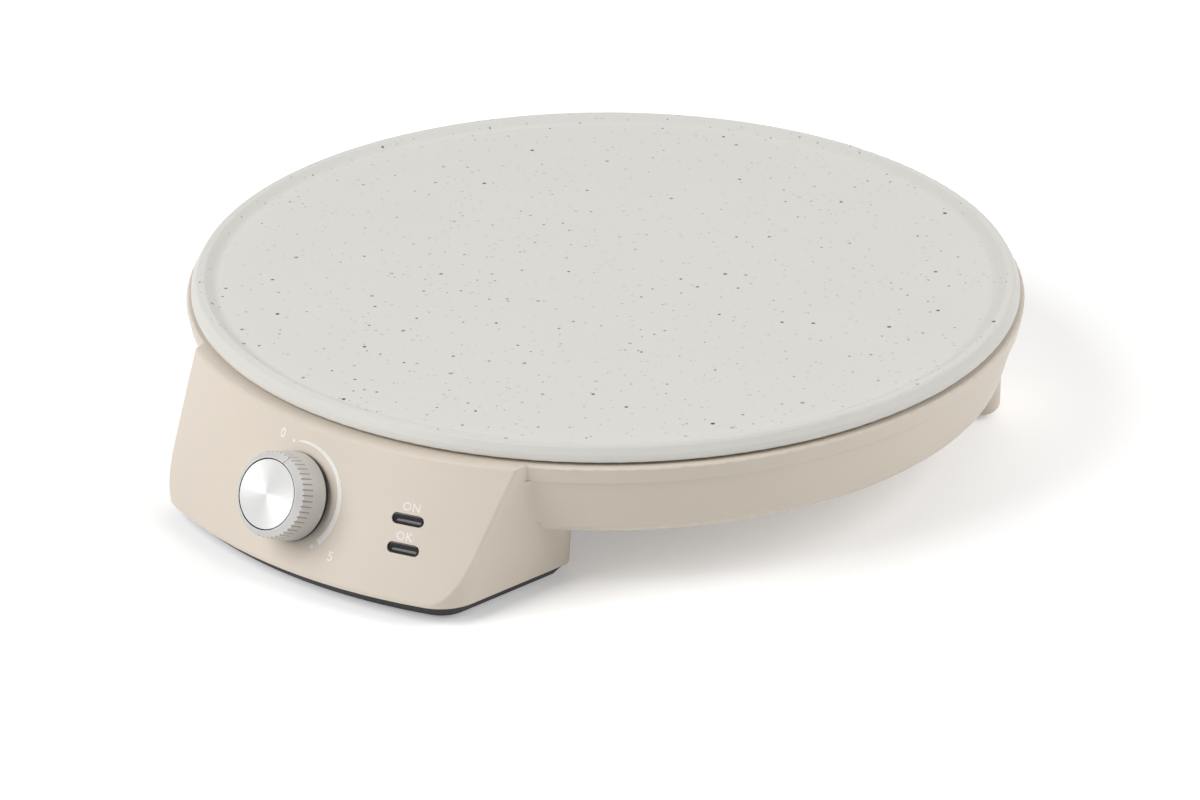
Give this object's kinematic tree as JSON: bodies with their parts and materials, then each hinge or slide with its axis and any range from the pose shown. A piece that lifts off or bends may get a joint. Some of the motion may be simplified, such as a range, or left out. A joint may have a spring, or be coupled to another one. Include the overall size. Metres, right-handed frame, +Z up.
{
  "type": "electric crepe maker",
  "caption": "Electric crepe maker: rimmed round ceramic-coated hot plate on a shallow beige housing, with a sloping control pod, a rotary thermostat knob and two indicator windows.",
  "frame": {"origin": "on the table, under the middle of the whole object's bounding box", "axes": "+Z up out of the cooking surface, -Y towards the user and the control panel, +X to the user's right"},
  "size_m": [0.3107, 0.3438, 0.06],
  "materials": {
    "plate_coating": "speckled non-stick ceramic coating on cast aluminium",
    "housing_plastic": "fine satin moulding, warm beige",
    "black_plastic": "satin moulding, black",
    "silver_plastic": "satin silver lacquer",
    "spun_cap": "spun face",
    "lens": "polished smoke-dark acrylic",
    "rubber": "matte",
    "bright_steel": "zinc-plated",
    "sheath_steel": "annealed sheath",
    "aluminised_steel": "aluminised sheet",
    "brass": "bare brass",
    "copper": "drawn copper tube",
    "insulator": "unglazed steatite",
    "moulded_case": "phenolic moulding",
    "white_nylon": "natural nylon",
    "silicone_black": "silicone insulation, black",
    "silicone_blue": "silicone insulation, blue",
    "silicone_green": "silicone insulation, green and yellow",
    "glass_sleeve": "braided glass sleeving",
    "neon_glass": "clear envelope"
  },
  "bodies": {
    "base": {"hot_plate": "plate_coating", "heating_element": "sheath_steel", "element_seals": "insulator", "element_tabs": "bright_steel", "element_clips": "bright_steel", "plate_clip_screws": "bright_steel", "heat_shield": "aluminised_steel", "plate_spacers": "bright_steel", "insulating_washers": "insulator", "plate_screws": "bright_steel", "sensor_bulb": "copper", "bulb_clip": "bright_steel", "capillary_tube": "copper", "thermal_fuse": "brass", "fuse_sleeve": "glass_sleeve", "fuse_clip": "bright_steel", "housing": "housing_plastic", "base_cover": "black_plastic", "base_screws": "bright_steel", "front_pads": "rubber", "rear_pads": "rubber", "inlet_bush": "rubber", "thermostat_case": "moulded_case", "thermostat_tabs": "brass", "thermostat_nut": "brass", "upper_lens": "lens", "lower_lens": "lens", "lamp_holder": "white_nylon", "neon_lamps": "neon_glass", "lamp_screws": "bright_steel", "terminal_block": "white_nylon", "terminal_screws": "brass", "line_wire": "silicone_black", "fuse_feed_wire": "silicone_black", "fuse_link_wire": "silicone_black", "neutral_wire": "silicone_blue", "earth_wire": "silicone_green", "earth_tag": "bright_steel", "lamp_leads": "silicone_black"},
    "knob": {"thermostat_spindle": "bright_steel", "knob_body": "silver_plastic", "knob_cap": "spun_cap", "knob_spring": "bright_steel"}
  },
  "joints": [
    {"name": "knob_turn", "type": "hinge", "parent": "base", "child": "knob", "pos_m": [0, -0.15295, 0.0304], "axis": [0, 0.9081, -0.4188], "range_deg": [-35, 120]}
  ]
}
